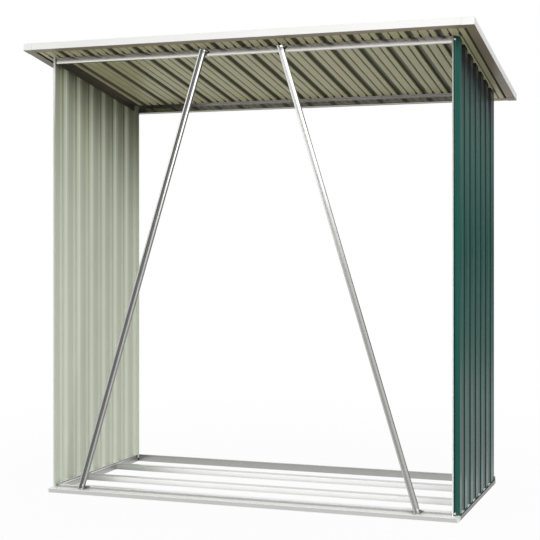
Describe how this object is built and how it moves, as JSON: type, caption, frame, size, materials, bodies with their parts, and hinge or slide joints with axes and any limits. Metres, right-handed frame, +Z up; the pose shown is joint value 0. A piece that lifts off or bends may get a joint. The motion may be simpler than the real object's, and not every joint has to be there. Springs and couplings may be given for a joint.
{
  "type": "log store",
  "caption": "Open-fronted log store of folded sheet steel: ribbed green side walls, a ribbed lean-to roof with white edges, a galvanised base frame and leaning front braces.",
  "frame": {"origin": "on the floor, under the middle of the roof's plan", "axes": "+X to the right seen from the front, +Y from the open front to the back, +Z up"},
  "size_m": [1.72, 0.93, 1.712],
  "materials": {
    "galvanised_steel": "galvanised, satin",
    "wall_sheet": "green paint outside, pale grey-green back coat inside",
    "roof_sheet": "green paint on top, pale grey-green back coat below",
    "white_trim": "white paint, satin"
  },
  "bodies": {
    "root": {"front_base_rail": "galvanised_steel", "back_base_rail": "galvanised_steel", "left_base_rail": "galvanised_steel", "right_base_rail": "galvanised_steel", "front_floor_rail": "galvanised_steel", "back_floor_rail": "galvanised_steel", "left_wall_front_sheet": "wall_sheet", "left_wall_back_sheet": "wall_sheet", "right_wall_front_sheet": "wall_sheet", "right_wall_back_sheet": "wall_sheet", "front_top_rail": "galvanised_steel", "back_top_rail": "galvanised_steel", "left_top_rail": "galvanised_steel", "right_top_rail": "galvanised_steel", "left_brace": "galvanised_steel", "right_brace": "galvanised_steel", "roof_sheet_1": "roof_sheet", "roof_sheet_2": "roof_sheet", "roof_sheet_3": "roof_sheet", "roof_sheet_4": "roof_sheet", "front_roof_trim": "white_trim", "back_roof_trim": "white_trim", "left_roof_trim": "white_trim", "right_roof_trim": "white_trim", "front_left_roof_cap": "white_trim", "front_right_roof_cap": "white_trim", "back_left_roof_cap": "white_trim", "back_right_roof_cap": "white_trim"}
  },
  "joints": []
}
